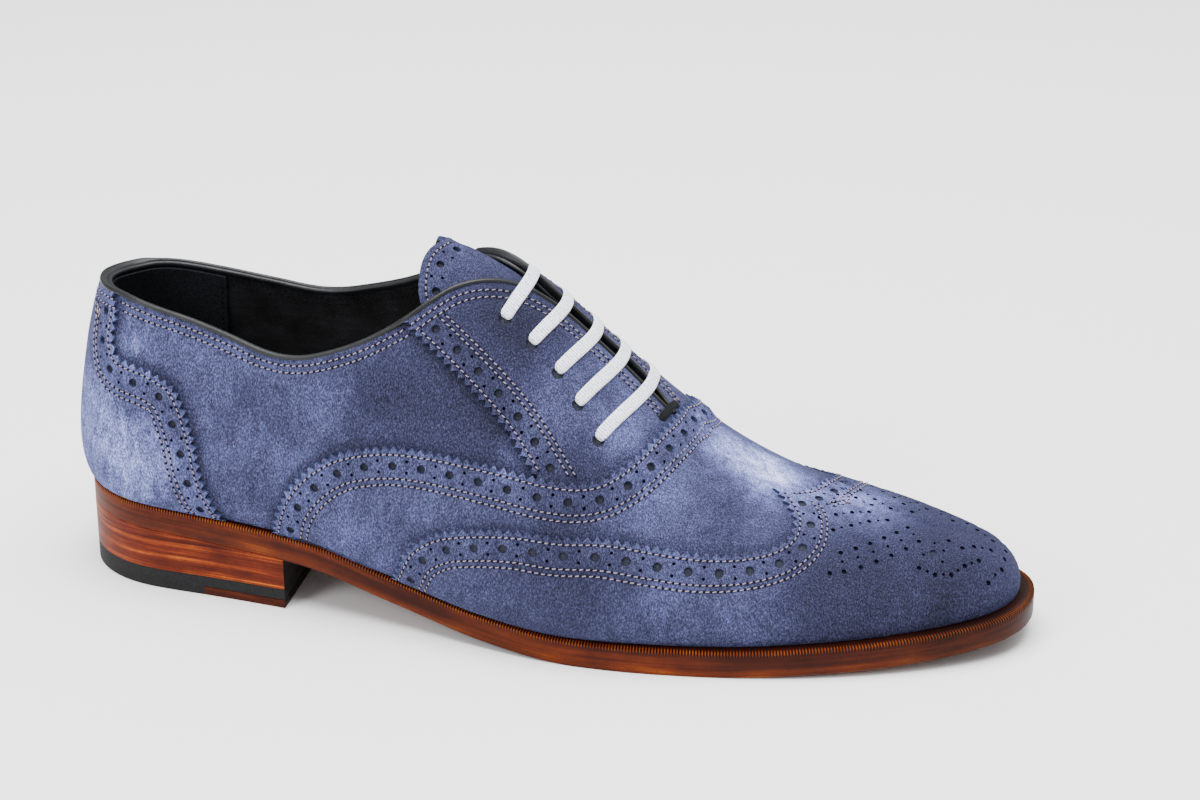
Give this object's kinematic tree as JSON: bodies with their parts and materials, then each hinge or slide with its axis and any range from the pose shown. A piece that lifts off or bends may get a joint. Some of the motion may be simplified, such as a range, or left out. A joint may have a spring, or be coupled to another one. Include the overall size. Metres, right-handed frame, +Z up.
{
  "type": "brogue dress shoe",
  "caption": "Right-foot lace-up wingtip brogue in suede on a leather sole with a stacked heel, worn on the foot.",
  "frame": {"origin": "middle of the heel's floor face", "axes": "+X to the toe, +Y to the inner side of the foot, +Z up"},
  "size_m": [0.3083, 0.1011, 0.1144],
  "materials": {
    "suede": "napped blue suede",
    "binding": "dark rolled leather",
    "lining": "smooth black leather",
    "thread": "waxed thread",
    "lace": "flat woven white lace",
    "sole_leather": "burnished brown leather",
    "rubber": "matt black rubber"
  },
  "bodies": {
    "root": {"upper": "suede", "vamp": "suede", "wing_cap": "suede", "heel_counter": "suede", "eyestay_lateral": "suede", "eyestay_medial": "suede", "collar_binding": "binding", "tongue": "suede", "throat_tack": "binding", "lace_bar_1": "lace", "lace_bar_2": "lace", "lace_bar_3": "lace", "lace_bar_4": "lace", "lace_bar_5": "lace", "insole": "lining", "welt": "sole_leather", "outsole": "sole_leather", "heel_stack": "sole_leather", "heel_rubber": "rubber", "heel_inset": "sole_leather"}
  },
  "joints": []
}
